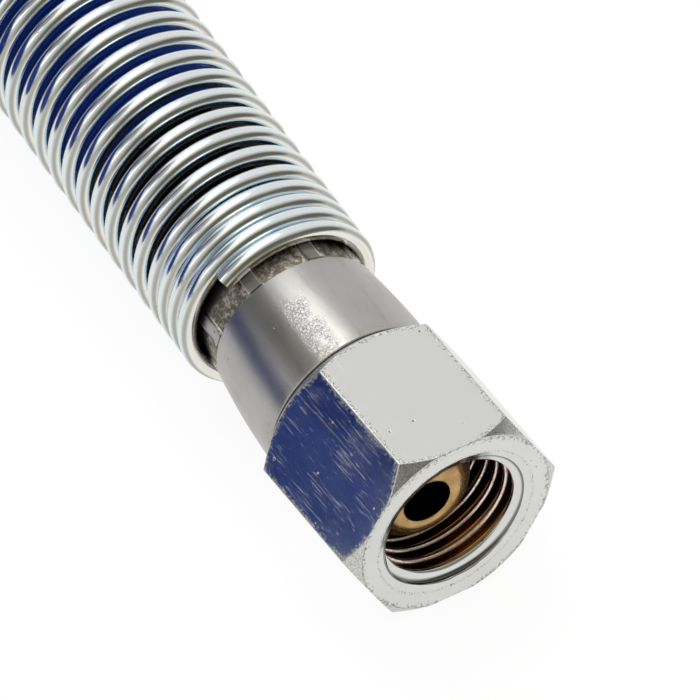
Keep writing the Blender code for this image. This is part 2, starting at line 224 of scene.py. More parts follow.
def pitGroup():
    # Small round pits or specks, each in its own cell, only some of the cells filled
    tree, given, out = newGroup("ShaderNodeTree", "platingPits", [
        ("Vector", "NodeSocketVector", None), ("Spacing", "NodeSocketFloat", 1.5),
        ("Size", "NodeSocketFloat", 0.12), ("Amount", "NodeSocketFloat", 0.3),
    ], [("Mask", "NodeSocketFloat")])
    bent = addNode(tree, "ShaderNodeVectorMath", {0: given["Vector"]}, operation="MULTIPLY_ADD")
    bent.inputs[1].default_value = (1.0, 1.0, 1.0)
    wobble = addNode(tree, "ShaderNodeTexNoise", {"Vector": given["Vector"], "Scale": 3.0, "Detail": 2.0})
    wire(bent.inputs[2], onVectors("MULTIPLY", wobble.outputs["Color"], (0.16, 0.16, 0.16)))
    cells = addNode(tree, "ShaderNodeTexVoronoi", {
        "Vector": bent.outputs[0], "Scale": over(1.0, given["Spacing"])})
    chance, share, _ = parts(cells.outputs["Color"])
    size = times(over(given["Size"], given["Spacing"]), plus(0.35, share))
    spot = fade(cells.outputs["Distance"], size, times(size, 0.45))
    wire(out["Mask"], times(spot, calc("LESS_THAN", chance, given["Amount"])))
    return tree


def mottleGroup():
    # Cloudy change over the surface, from 0 to 1
    tree, given, out = newGroup("ShaderNodeTree", "softMottle", [
        ("Vector", "NodeSocketVector", None), ("Size", "NodeSocketFloat", 2.0),
        ("Contrast", "NodeSocketFloat", 1.0),
    ], [("Value", "NodeSocketFloat")])
    cloud = noiseAt(given["Vector"], over(1.0, given["Size"]), 4.0, 0.6)
    half = over(0.25, given["Contrast"])
    wire(out["Value"], fade(cloud, minus(0.5, half), plus(0.5, half)))
    return tree


streaks, pits, mottle = streakGroup(), pitGroup(), mottleGroup()


def streaksOn(place, **sockets):
    return useGroup(streaks, place, "Mask", **sockets)


def pitsOn(place, **sockets):
    return useGroup(pits, place, "Mask", **sockets)


def mottleOn(place, **sockets):
    return useGroup(mottle, place, "Value", **sockets)


def newMaterial(name):
    material = bpy.data.materials.new(name)
    material.use_nodes = True
    return material, material.node_tree, material.node_tree.nodes["Principled BSDF"]


def placeOf(tree):
    # The point in its own piece, in millimetres, and its parts
    vector = addNode(tree, "ShaderNodeAttribute", attribute_name="place").outputs["Vector"]
    return vector, parts(vector)


def addBumps(shader, layers):
    # Each layer is a height, a strength and a depth in millimetres
    normal = None
    for height, strength, depth in layers:
        bump = addNode(shader.id_data, "ShaderNodeBump", {
            "Height": height, "Strength": strength, "Distance": depth * mm})
        if normal is not None:
            wire(bump.inputs["Normal"], normal)
        normal = bump.outputs[0]
    wire(shader.inputs["Normal"], normal)


def dress(shader, colour, roughness, metallic=1.0):
    wire(shader.inputs["Base Color"], colour)
    wire(shader.inputs["Roughness"], roughness)
    wire(shader.inputs["Metallic"], metallic)


# Finishes
nutShape = {
    "acrossFlats": 17.0, "length": 14.2, "columns": 144,
    "mouthRadius": 7.1, "frontFaceRadius": 8.71, "frontChamfer": 0.97,
    "rearFaceRadius": 7.75, "rearChamfer": 1.85, "collarRadius": 4.6, "collarThickness": 4.3,
    "edgeRounding": 0.23, "threadPitch": 1.337, "threadPhase": 0.75, "threadMinor": 5.76,
    "threadMajor": 6.56, "countersinkSlope": 2.2, "reliefSlope": 0.9, "rowsPerPitch": 24,
}
nutCorner = nutShape["acrossFlats"] / 2 / math.cos(math.pi / 6)
frontSlope = nutShape["frontChamfer"] / (nutCorner - nutShape["frontFaceRadius"])
rearSlope = nutShape["rearChamfer"] / (nutCorner - nutShape["rearFaceRadius"])


def nickelMaterial():
    look = {
        "plate": (0.74, 0.745, 0.72), "worn": (0.13, 0.125, 0.115), "deep": (0.22, 0.115, 0.06),
        "paintedBrassReflection": (0.66, 0.36, 0.12), "crest": (0.92, 0.82, 0.76), "pit": (0.12, 0.11, 0.10),
        "roughness": 0.10, "outsideFrom": 7.6, "insideTo": 7.2, "rimDepth": 0.35, "paintedBrassReflectionAt": -1.07,
        "grooveBehind": 13.92, "grooveFrom": (6.22, 6.42), "grooveTo": 6.7,
    }
    material, tree, shader = newMaterial("nickelPlatedNut")
    place, (x, y, z) = placeOf(tree)
    radius = fromAxis(y, z)
    fromCorner = calc("PINGPONG", calc("ARCTAN2", z, y), math.pi / 6)
    across = times(radius, calc("SINE", minus(math.pi / 6, fromCorner)))
    corner = minus(nutCorner / 2, across)
    depth = minus(nutShape["length"], x)
    front = minus(depth, times(minus(radius, nutShape["frontFaceRadius"]), frontSlope))
    rear = minus(x, times(minus(radius, nutShape["rearFaceRadius"]), rearSlope))
    edge = lesser(lesser(corner, front), rear)
    fine = noiseAt(place, 2.6, 5.0, 0.7)
    reach = fade(fine, 0.40, 0.66, 0.14, 0.75)
    outside = calc("GREATER_THAN", radius, look["outsideFrom"])
    worn = times(fade(edge, reach, times(reach, 0.35)), outside)
    grain = noiseAt(place, 7.0, 4.0, 0.75)
    # A bright line stays on the edge itself, with dark specks beside it
    wornSpeck = times(worn, fade(grain, 0.42, 0.56), fade(edge, 0.04, 0.12, 0.35, 1.0))
    bevel = times(calc("LESS_THAN", front, 0.05),
                  calc("GREATER_THAN", radius, nutShape["frontFaceRadius"] + 0.05))
    bevelSpeck = times(bevel, fade(grain, 0.44, 0.62, 0.0, 0.7))
    fromRim = distance(radius, nutShape["mouthRadius"] + 0.03)
    rim = times(calc("GREATER_THAN", x, nutShape["length"] - look["rimDepth"]), fade(fromRim, 0.17, 0.04))
    rimSpeck = times(rim, fade(grain, 0.52, 0.62))
    # Inside, the colour turns dark brass brown with depth: partly the brass body under the plating, partly
    # painted shade deeper in the bore; it stays dark between the thread's crests
    inside = times(calc("LESS_THAN", radius, look["insideTo"]), fade(depth, 1.35, 1.75))
    # Painted highlight: bright lines on the thread's crests inside the bore
    crest = times(fade(radius, 5.98, 5.84), fade(grain, 0.34, 0.52))
    # Painted reflection: the brass tailpiece's reflection painted onto one side of the bore
    aside = distance(calc("ARCTAN2", z, y), look["paintedBrassReflectionAt"])
    boreBrassAndPaintedLight = mixColour(fade(aside, 0.40, 0.10, 0.0, 0.8), look["deep"], look["paintedBrassReflection"])
    boreBrassAndPaintedLight = mixColour(crest, boreBrassAndPaintedLight, look["crest"])
    scratch = streaksOn(place, Angle=0.0, Length=6.0, Width=0.03, Amount=0.425, Patch=2.6)
    cross = streaksOn(place, Angle=0.0, Length=0.9, Width=0.03, Amount=0.35, Patch=1.2)
    # One side of the nut is handled more than the other
    marks = times(greater(scratch, cross), fade(y, -2.0, -5.2, 0.12, 0.60))
    holes = pitsOn(place, Spacing=1.1, Size=0.13, Amount=0.36)
    cloud = mottleOn(place, Size=5.0, Contrast=0.8)
    colour = mixColour(cloud, look["plate"], tuple(c * 0.95 for c in look["plate"]))
    dark = greater(greater(wornSpeck, bevelSpeck), rimSpeck)
    colour = mixColour(times(dark, 0.85), colour, look["worn"])
    colour = mixColour(times(holes, 0.85), colour, look["pit"])
    # Painted shade: the thread's roots behind the mouth are darkened with the worn colour
    grooveShadeZone = times(calc("LESS_THAN", x, look["grooveBehind"]), calc("LESS_THAN", radius, look["grooveTo"]))
    groove = times(fade(radius, *look["grooveFrom"]), grooveShadeZone)
    colour = mixColour(times(groove, 0.9), colour, look["worn"])
    colour = mixColour(inside, colour, boreBrassAndPaintedLight)
    rough = plus(look["roughness"], times(cloud, 0.04))
    rough = plus(rough, times(greater(worn, bevel), 0.16))
    rough = plus(rough, times(marks, 0.20))
    rough = plus(rough, times(inside, 0.06))
    dress(shader, colour, rough)
    wave = noiseAt(place, 0.22, 1.0, 0.4)
    addBumps(shader, [
        (wave, 0.35, 0.25), (fine, plus(0.02, times(worn, 0.5)), 0.05),
        (marks, 0.20, -0.010), (holes, 0.8, -0.03),
    ])
    return material


ferrule = {
    "front": -0.06, "rounding": 0.12, "shoulder": 7.87, "waist": 7.15, "fullness": 1.8, "step": -9.65,
    "stepLength": 0.14, "panel": 6.78, "rib": 6.95, "ribSettle": -10.6, "panelEnd": -27.9, "end": -29.9,
    "lip": 6.45, "jaws": 8, "firstRib": 32.3, "halfRib": 5.0, "burr": 0.07, "flatten": 0.45,
    "bore": 5.5, "neckHole": 4.2, "wall": -3.2, "tiltedPart": 5.0, "panelSteps": 12,
}


def ferruleMaterial():
    look = {
        "steel": (0.46, 0.45, 0.435), "dark": (0.24, 0.235, 0.225), "panel": (0.17, 0.15, 0.12),
        "grit": (0.60, 0.55, 0.48), "burr": (0.90, 0.86, 0.80), "shade": (0.05, 0.047, 0.045),
        "stain": (0.30, 0.27, 0.10), "pit": (0.10, 0.09, 0.08), "paintedGlint": (0.86, 0.86, 0.88),
        "paintedFacetShade": (0.20, 0.195, 0.19), "roughness": 0.28, "panelsFrom": -9.5, "pressedTo": 6.86,
        "patchAt": (-3.3, 109), "shadeFrom": (-11.5, -12.6),
    }
    material, tree, shader = newMaterial("crimpedSteel")
    place, (x, y, z) = placeOf(tree)
    radius = fromAxis(y, z)
    cloud = mottleOn(place, Size=4.5, Contrast=0.7)
    drawn = noiseAt(joinXyz(times(x, 0.12), times(y, 1.1), times(z, 1.1)), 1.0, 4.0, 0.65)
    grit = noiseAt(place, 5.5, 5.0, 0.75)
    pressed = times(calc("LESS_THAN", x, look["panelsFrom"]), calc("LESS_THAN", radius, look["pressedTo"]))
    scratch = streaksOn(place, Angle=0.1, Length=1.4, Width=0.07, Amount=0.22, Patch=2.5)
    holes = pitsOn(place, Spacing=1.1, Size=0.12, Amount=0.40)
    # One patch of the dome is roughened by handling, just above its middle line
    angle = calc("ARCTAN2", z, y)
    patchX, patchTurn = look["patchAt"]
    aside = distance(angle, math.radians(patchTurn))
    lengthwise = distance(x, patchX)
    patch = times(fade(aside, 0.20, 0.08), fade(lengthwise, 4.3, 2.6))
    patch = times(patch, fade(noiseAt(place, 0.55, 3.0, 0.6), 0.32, 0.52))
    sparkNoise = noiseAt(place, 6.0, 3.0, 0.8)
    # Painted glints and painted dark specks in the patch stand in for its scratches catching and missing the
    # light
    paintedGlint = times(patch, fade(sparkNoise, 0.52, 0.60))
    paintedFacetShade = times(patch, fade(sparkNoise, 0.47, 0.40))
    junction = times(fade(x, -1.5, -0.4), fade(grit, 0.50, 0.64))
    colour = mixColour(cloud, look["steel"], tuple(c * 0.88 for c in look["steel"]))
    colour = mixColour(fade(drawn, 0.50, 0.72, 0.0, 0.35), colour, look["dark"])
    for mask, share, name in ((holes, 0.85, "pit"), (paintedGlint, 0.8, "paintedGlint"), (paintedFacetShade, 0.7, "paintedFacetShade"),
                              (junction, 0.6, "stain")):
        colour = mixColour(times(mask, share), colour, look[name])
    coarse = noiseAt(place, 2.2, 5.0, 0.8)
    gritty = mixColour(fade(coarse, 0.44, 0.62), look["panel"], look["grit"])
    colour = mixColour(pressed, colour, gritty)
    # The jaws leave a raised burr on both sides of each rib, with a painted highlight along it
    fromRib = calc("PINGPONG", minus(angle, math.radians(ferrule["firstRib"])), math.pi / ferrule["jaws"])
    offBurr = distance(fromRib, math.radians(ferrule["halfRib"] + 0.2))
    burr = times(fade(offBurr, math.radians(0.9), math.radians(0.3)),
                 calc("LESS_THAN", x, ferrule["step"] - 0.1))
    colour = mixColour(times(burr, fade(grit, 0.36, 0.52)), colour, look["burr"])
    # Painted shade: a dark line along the step where the dome meets the pressed panels
    paintedStepShade = times(fade(x, ferrule["step"] + 0.02, ferrule["step"] - 0.04),
                 fade(x, ferrule["step"] - 0.26, ferrule["step"] - 0.16))
    colour = mixColour(times(paintedStepShade, 0.85), colour, look["shade"])
    # Painted shade: the crimp under the bend guard is darkened, as the guard shades it
    colour = mixColour(fade(x, *look["shadeFrom"]), colour, look["shade"])
    rough = plus(look["roughness"], times(cloud, 0.05))
    rough = plus(rough, times(greater(scratch, pressed), 0.16))
    dress(shader, colour, rough)
    addBumps(shader, [
        (drawn, 0.10, 0.05), (grit, plus(0.04, times(pressed, 0.5)), 0.05),
        (sparkNoise, times(patch, 0.9), 0.05), (scratch, 0.5, -0.012), (holes, 0.8, -0.03),
    ])
    return material


def brassMaterial():
    look = {
        "turned": (0.60, 0.40, 0.17), "tarnish": (0.30, 0.165, 0.055), "outer": (0.15, 0.08, 0.03),
        "pitAndBoreShade": (0.035, 0.02, 0.01), "outerFrom": (3.9, 5.0), "boreTo": 2.02, "roughness": (0.20, 0.32),
    }
    material, tree, shader = newMaterial("turnedBrass")
    place, (x, y, z) = placeOf(tree)
    radius = fromAxis(y, z)
    cloud = mottleOn(place, Size=1.6, Contrast=0.9)
    holes = pitsOn(place, Spacing=0.8, Size=0.08, Amount=0.3)
    # Painted shade: the walls of the narrow bore are painted near black; the pits share that dark colour
    bore = calc("LESS_THAN", radius, look["boreTo"])
    colour = mixColour(times(cloud, 0.8), look["turned"], look["tarnish"])
    colour = mixColour(fade(radius, *look["outerFrom"]), colour, look["outer"])
    colour = mixColour(greater(times(holes, 0.7), bore), colour, look["pitAndBoreShade"])
    dress(shader, colour, fade(cloud, 0.0, 1.0, *look["roughness"]))
    turning = calc("SINE", times(plus(radius, times(x, 0.6)), 34.0))
    addBumps(shader, [(turning, 0.12, 0.010), (cloud, 0.15, 0.04), (holes, 0.6, -0.02)])
    return material


# How many grain cells the drawn wire has along one turn and across its radius
grainStretch = (4.0, 3.2)


def zincMaterial():
    # Blue bright zinc, with a painted reflection tint: bluish on the wire's rear side, straw yellow on its
    # front side
    look = {
        "zinc": (0.80, 0.84, 0.85), "blue": (0.54, 0.73, 0.94), "paintedStrawReflection": (0.90, 0.88, 0.80),
        "paintedShoulderShade": (0.36, 0.355, 0.29), "drawn": (0.52, 0.55, 0.57), "pit": (0.22, 0.22, 0.22),
        "roughness": (0.12, 0.24),
    }
    material, tree, shader = newMaterial("zincWire")
    place, _ = placeOf(tree)
    side = addNode(tree, "ShaderNodeAttribute", attribute_name="wireSide").outputs["Fac"]
    drawnAt = addNode(tree, "ShaderNodeAttribute", attribute_name="wireGrain").outputs["Vector"]
    drawn = noiseAt(drawnAt, 1.0, 4.0, 0.7)
    cloud = mottleOn(place, Size=2.2, Contrast=0.9)
    holes = pitsOn(place, Spacing=1.1, Size=0.09, Amount=0.25)
    shift = plus(side, times(minus(cloud, 0.5), 0.5))
    # Painted reflection: the colour shifts with the wire's side, bluish behind and straw yellow in front
    blue = fade(shift, -0.35, -0.95)
    paintedStrawReflection = fade(shift, 0.55, 1.05)
    colour = mixColour(blue, look["zinc"], look["blue"])
    colour = mixColour(paintedStrawReflection, colour, look["paintedStrawReflection"])
    # Painted shade: a darker olive band on the front shoulder of the wire
    outward = over(parts(drawnAt)[2], grainStretch[1])
    shoulder = times(fade(side, 0.25, 0.62), fade(outward, 0.42, 0.70))
    colour = mixColour(times(shoulder, 0.85), colour, look["paintedShoulderShade"])
    colour = mixColour(fade(drawn, 0.56, 0.74, 0.0, 0.5), colour, look["drawn"])
    colour = mixColour(times(holes, 0.5), colour, look["pit"])
    dress(shader, colour, fade(drawn, 0.3, 0.8, *look["roughness"]))
    addBumps(shader, [(drawn, 0.14, 0.03), (holes, 0.6, -0.02)])
    return material


def rubberMaterial(name, onTube):
    look = {
        "blue": (0.007, 0.046, 0.32), "pale": (0.012, 0.062, 0.40), "dust": (0.14, 0.19, 0.36),
        "gloss": 0.18, "roughness": (0.46, 0.54), "dieLines": (5.0, 3.0),
    }
    material, tree, shader = newMaterial(name)
    place = onVectors("MULTIPLY", addNode(tree, "ShaderNodeTexCoord").outputs["Object"], (1 / mm,) * 3)
    cloud = mottleOn(place, Size=14.0, Contrast=0.7)
    grain = noiseAt(place, 3.2, 4.0, 0.65)
    scuff = streaksOn(place, Angle=0.6, Length=5.0, Width=0.25, Amount=0.26, Patch=9.0)
    dust = fade(noiseAt(place, 0.9, 5.0, 0.7), 0.56, 0.78, 0.0, 0.16)
    colour = mixColour(cloud, look["blue"], look["pale"])
    colour = mixColour(greater(dust, times(scuff, 0.35)), colour, look["dust"])
    shader.inputs["Specular IOR Level"].default_value = look["gloss"]
    rough = plus(fade(cloud, 0.0, 1.0, *look["roughness"]), times(scuff, 0.2))
    dress(shader, colour, rough, 0.0)
    layers = [(grain, 0.12, 0.06), (scuff, 0.3, 0.02)]
    if onTube:
        # Faint lines that the extruder's die leaves along the hose
        across = addNode(tree, "ShaderNodeUVMap", uv_map="hoseUv").outputs[0]
        u, v, _ = parts(across)
        around = times(u, math.tau)
        lines, lengthwise = look["dieLines"]
        ringAt = joinXyz(times(calc("COSINE", around), lines), times(calc("SINE", around), lines),
                         times(v, lengthwise))
        layers.append((noiseAt(ringAt, 1.0, 3.0, 0.6), 0.25, 0.12))
    addBumps(shader, layers)
    return material


nickel, crimped, brass, zinc = nickelMaterial(), ferruleMaterial(), brassMaterial(), zincMaterial()
hoseRubber, gripRubber = rubberMaterial("blueRubber", True), rubberMaterial("blueRubberEnd", False)
print("finishes made")


# From a shape to a piece
def meshFrom(bm, name, sharpAngle):
    bmesh.ops.recalc_face_normals(bm, faces=bm.faces)
    mesh = bpy.data.meshes.new(name)
    bm.to_mesh(mesh)
    bm.free()
    mesh.shade_smooth()
    if sharpAngle:
        mesh.set_sharp_from_angle(angle=math.radians(sharpAngle))
    return mesh


def fitPiece(name, mesh, material, matrix, body, node):
    mesh = mesh.copy()
    mesh.name = name
    place = mesh.attributes.new("place", "FLOAT_VECTOR", "POINT")
    values = [0.0] * (3 * len(mesh.vertices))
    mesh.vertices.foreach_get("co", values)
    place.data.foreach_set("vector", values)
    mesh.transform(matrix)
    mesh.materials.clear()
    mesh.materials.append(material)
    piece = addObject(name, mesh)
    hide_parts(node)
    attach(piece, body)
    return piece


def runTree(tree, settings, name):
    # Runs a Geometry Nodes tree on an empty mesh and gives back its result as a plain mesh
    carrier = addObject(name, bpy.data.meshes.new(name))
    modifier = carrier.modifiers.new("nodes", "NODES")
    modifier.node_group = tree
    for item in tree.interface.items_tree:
        if item.item_type == "SOCKET" and item.in_out == "INPUT" and item.name in settings:
            modifier[item.identifier] = settings[item.name]
    made = bpy.data.meshes.new_from_object(carrier.evaluated_get(bpy.context.evaluated_depsgraph_get()))
    carrier.modifiers.clear()
    bpy.data.objects.remove(carrier, do_unlink=True)
    return made


def aroundX(bm, along, radius, angle):
    return bm.verts.new((along, radius * math.cos(angle), radius * math.sin(angle)))


def joinRings(bm, rings, first=0):
    # Faces between each ring and the one before it; from 0 on, the last ring also meets the first
    for i in range(first, len(rings)):
        behind, ring = rings[i - 1], rings[i]
        for j in range(len(ring)):
            bm.faces.new((behind[j - 1], behind[j], ring[j], ring[j - 1]))


def spun(profile, segments, name, sharpAngle=30):
    # A closed outline of (along, radius) points turned about the X axis
    bm = bmesh.new()
    joinRings(bm, [[aroundX(bm, along, radius, math.tau * i / segments) for i in range(segments)]
                   for along, radius in profile])
    return meshFrom(bm, name, sharpAngle)


def giveMesh(geometry, material, out):
    # The last nodes of both Geometry Nodes trees
    tree = geometry.id_data
    real = addNode(tree, "GeometryNodeRealizeInstances", {"Geometry": geometry})
    coated = addNode(tree, "GeometryNodeSetMaterial", {"Geometry": real.outputs[0], "Material": material})
    wire(out, coated.outputs[0])


# Union nut
def threadTree():
    numbers = (("Pitch", 1.0), ("Minor Radius", 5.0), ("Major Radius", 6.0), ("Start", 0.0), ("End", 10.0),
               ("Mouth Radius", 7.0), ("Countersink Slope", 1.0), ("Relief Slope", 0.9), ("Phase", 0.0))
    tree, given, out = newGroup("GeometryNodeTree", "threadCutting", [
        *((label, "NodeSocketFloat", value) for label, value in numbers),
        ("Columns", "NodeSocketInt", 144), ("Rows", "NodeSocketInt", 100),
        ("Material", "NodeSocketMaterial", None),
    ], [("Geometry", "NodeSocketGeometry")])
    span = plus(minus(given["End"], given["Start"]), given["Pitch"])
    grid = addNode(tree, "GeometryNodeMeshGrid", {
        "Size X": math.tau, "Size Y": span, "Vertices X": plus(given["Columns"], 1.0),
        "Vertices Y": given["Rows"]})
    angle, row, _ = parts(addNode(tree, "GeometryNodeInputPosition").outputs[0])
    middle = times(plus(given["Start"], given["End"]), 0.5)
    level = plus(middle, row)
    climbed = plus(level, times(given["Pitch"], over(angle, math.tau)))
    along = lesser(greater(climbed, given["Start"]), given["End"])
    half = times(given["Pitch"], 0.5)
    turned = minus(level, given["Phase"])
    crest = fade(over(calc("PINGPONG", turned, half), half), 0.10, 0.86)
    cut = minus(given["Major Radius"], times(crest, minus(given["Major Radius"], given["Minor Radius"])))
    cone = minus(given["Mouth Radius"], times(minus(given["End"], along), given["Countersink Slope"]))
    relief = minus(given["Major Radius"], times(minus(along, given["Start"]), given["Relief Slope"]))
    radius = greater(greater(cut, cone), relief)
    spot = joinXyz(along, times(radius, calc("COSINE", angle)), times(radius, calc("SINE", angle)))
    moved = addNode(tree, "GeometryNodeSetPosition", {"Geometry": grid.outputs["Mesh"], "Position": spot})
    welded = addNode(tree, "GeometryNodeMergeByDistance", {"Geometry": moved.outputs[0], "Distance": 0.0005})
    giveMesh(welded.outputs[0], given["Material"], out["Geometry"])
    return tree


def nutMesh():
    shape = nutShape
    flat, columns, length = shape["acrossFlats"] / 2, shape["columns"], shape["length"]
    start, pitch = shape["collarThickness"], shape["threadPitch"]
    bm = bmesh.new()
    rings = [[] for _ in range(8)]
    for i in range(columns):
        angle = math.tau * i / columns
        fromFlat = (angle % (math.pi / 3)) - math.pi / 6
        reach = flat / math.cos(fromFlat)
        face = min(shape["frontFaceRadius"], reach)
        spots = (
            (length, shape["mouthRadius"]), (length, face),
            (length - frontSlope * (reach - face), reach),
            (rearSlope * (reach - shape["rearFaceRadius"]), reach),
            (0.0, shape["rearFaceRadius"]), (0.0, shape["collarRadius"]),
            (start, shape["collarRadius"]), (start, shape["threadMajor"]),
        )
        for ring, (along, radius) in zip(rings, spots):
            ring.append(aroundX(bm, along, radius, angle))
    joinRings(bm, rings, first=1)
    bmesh.ops.remove_doubles(bm, verts=bm.verts, dist=1e-4)
    bmesh.ops.recalc_face_normals(bm, faces=bm.faces)
    sharp = [edge for edge in bm.edges
             if len(edge.link_faces) == 2 and edge.calc_face_angle(0) > math.radians(14)
             and min(vert.co.yz.length for vert in edge.verts) > shape["rearFaceRadius"] - 0.05]
    bmesh.ops.bevel(bm, geom=sharp, offset=shape["edgeRounding"], offset_type="OFFSET", segments=3,
                    profile=0.5, affect="EDGES", clamp_overlap=True)
    shell = bpy.data.meshes.new("nutShell")
    bm.to_mesh(shell)
    bm.free()
    rows = round((length - start + pitch) / pitch * shape["rowsPerPitch"])
    bore = runTree(threadTree(), {
        "Pitch": pitch, "Phase": shape["threadPhase"], "Minor Radius": shape["threadMinor"],
        "Major Radius": shape["threadMajor"], "Start": start, "End": length,
        "Mouth Radius": shape["mouthRadius"], "Countersink Slope": shape["countersinkSlope"],
        "Relief Slope": shape["reliefSlope"], "Columns": columns, "Rows": rows, "Material": nickel,
    }, "threadCutting")
    bm = bmesh.new()
    bm.from_mesh(shell)
    bm.from_mesh(bore)
    bmesh.ops.remove_doubles(bm, verts=bm.verts, dist=2e-3)
    mesh = meshFrom(bm, "unionNut", 0)
    # Big flat faces keep their own direction up to the rounded edges
    total = [Vector() for _ in mesh.vertices]
    for face in mesh.polygons:
        for corner in face.vertices:
            total[corner] += face.normal * face.area
    mesh.normals_split_custom_set_from_vertices([t.normalized() for t in total])
    return mesh


# Tailpiece and ferrule
tail = {"bore": 2.0, "noseTip": 11.3, "noseLength": 3.6, "lip": 0.5, "flange": 5.1, "neck": 3.9,
        "seat": 4.95, "lockFront": -3.5, "lockRear": -5.1, "lockRadius": 5.2, "end": -29.9,
        "barbs": 6, "crest": 3.2, "root": 2.8, "ramp": 0.25, "segments": 96}


def tailpieceMesh():
    front = tail["noseTip"] - tail["noseLength"]
    lip = tail["bore"] + tail["lip"]
    profile = [(tail["noseTip"] - 0.25, tail["bore"]), (tail["noseTip"] - 0.08, tail["bore"] + 0.05),
               (tail["noseTip"], tail["bore"] + 0.2)]
    for i in range(25):
        turn = math.radians(90 * i / 24)
        profile.append((front + tail["noseLength"] * math.cos(turn),
                        lip + (tail["flange"] - lip) * math.sin(turn)))
    profile += [(tail["seat"] + 0.1, tail["flange"]), (tail["seat"], tail["flange"] - 0.1),
                (tail["seat"], tail["neck"]), (tail["lockFront"], tail["neck"]),
                (tail["lockFront"], tail["lockRadius"]), (tail["lockRear"], tail["lockRadius"])]
    step = (tail["lockRear"] - tail["end"]) / tail["barbs"]
    for i in range(tail["barbs"]):
        at = tail["lockRear"] - step * i
        profile += [(at, tail["root"]), (at - step * tail["ramp"], tail["crest"])]
    profile += [(tail["end"], tail["root"]), (tail["end"], tail["bore"])]
    return spun(profile, tail["segments"], "tailpiece")


def ferruleMesh(nutSwing):
    shape = ferrule
    shoulderAt = shape["front"] - shape["rounding"]
    stations = []
    for i in range(8):
        turn = math.radians(90 * i / 7)
        stations.append((shoulderAt + shape["rounding"] * math.cos(turn),
                         shape["shoulder"] - shape["rounding"] * (1 - math.sin(turn)), 0.0))
    waist = shape["waist"]
    for i in range(1, 25):
        share = i / 24
        fallen = (shape["shoulder"] - waist) * share ** shape["fullness"]
        stations.append((shoulderAt + (shape["step"] - shoulderAt) * share, shape["shoulder"] - fallen, 0.0))
    settle = (shape["rib"] - waist) / (shape["ribSettle"] - shape["step"])
    for back, pressed in ((0.03, 0.35), (0.09, 0.93), (shape["stepLength"], 1.0)):
        stations.append((shape["step"] - back, waist - settle * back, pressed))
    for i in range(1, 4):
        at = shape["step"] + (shape["ribSettle"] - shape["step"]) * i / 3
        stations.append((at, waist + (shape["rib"] - waist) * i / 3, 1.0))
    for i in range(1, 9):
        at = shape["ribSettle"] + (shape["panelEnd"] - shape["ribSettle"]) * i / 8
        stations.append((at, shape["rib"], 1.0))
    stations += [(shape["panelEnd"] - 0.3, shape["lip"], 0.0), (shape["end"] + 0.3, shape["lip"], 0.0),
                 (shape["end"], shape["lip"] - 0.3, 0.0)]
    sector, half = 360 / shape["jaws"], shape["halfRib"]
    # Angle in the sector from the middle of its rib, share of the press depth, share of the burr
    spots = [(-half, 0.0, 1.0), (-half + 0.6, 0.0, 0.4), (-half / 2, 0.0, 0.0), (0.0, 0.0, 0.0),
             (half / 2, 0.0, 0.0), (half - 0.6, 0.0, 0.4), (half, 0.0, 1.0), (half + 0.35, 0.55, 0.0),
             (half + 0.8, 1.0, 0.0)]
    for i in range(1, shape["panelSteps"]):
        spots.append((half + 0.8 + (sector - 2 * half - 1.6) * i / shape["panelSteps"], 1.0, 0.0))
    spots += [(sector - half - 0.8, 1.0, 0.0), (sector - half - 0.35, 0.55, 0.0)]
    around = []
    for jaw in range(shape["jaws"]):
        for angle, deep, burr in spots:
            middle = math.radians(angle - sector / 2)
            chord = math.cos(math.radians(sector / 2 - half)) / max(0.5, math.cos(middle))
            around.append((math.radians(shape["firstRib"] + sector * jaw + angle), deep, burr,
                           1 - shape["flatten"] * (1 - min(1.0, chord))))
    bm = bmesh.new()
    rings = []
    tilt = math.tan(math.radians(nutSwing))

    def addVert(at, radius, angle, near):
        # The front edge lies along the swung nut's rear face
        y, z = radius * math.cos(angle), radius * math.sin(angle)
        return bm.verts.new((at - tilt * y * near, y, z))

    for at, reach, pressed in stations:
        ring = []
        for angle, deep, burr, flatten in around:
            low = shape["panel"] * flatten
            radius = reach + burr * shape["burr"] * pressed - (reach - low) * deep * pressed
            ring.append(addVert(at, radius, angle, max(0.0, 1 + at / shape["tiltedPart"])))
        rings.append(ring)
    for at, radius in ((shape["end"], shape["bore"]), (shape["wall"], shape["bore"]),
                       (shape["wall"], shape["neckHole"]), (shape["front"], shape["neckHole"])):
        near = 1.0 if at == shape["front"] else 0.0
        rings.append([addVert(at, radius, angle, near) for angle, _, _, _ in around])
    joinRings(bm, rings)
    return meshFrom(bm, "ferrule", 28)


# Bend guard
guard = {
    "Outer Radius": 8.5, "Wire Radius": 0.78, "Length": 54.65, "Front": -11.15, "Close Pitch": 1.63,
    "Open Pitch": 2.34, "Front Close Turns": 3.9, "Rear Close Turns": 3.0,
    "Front End Angle": math.radians(134), "Points Per Turn": 72, "Wire Sides": 18,
}


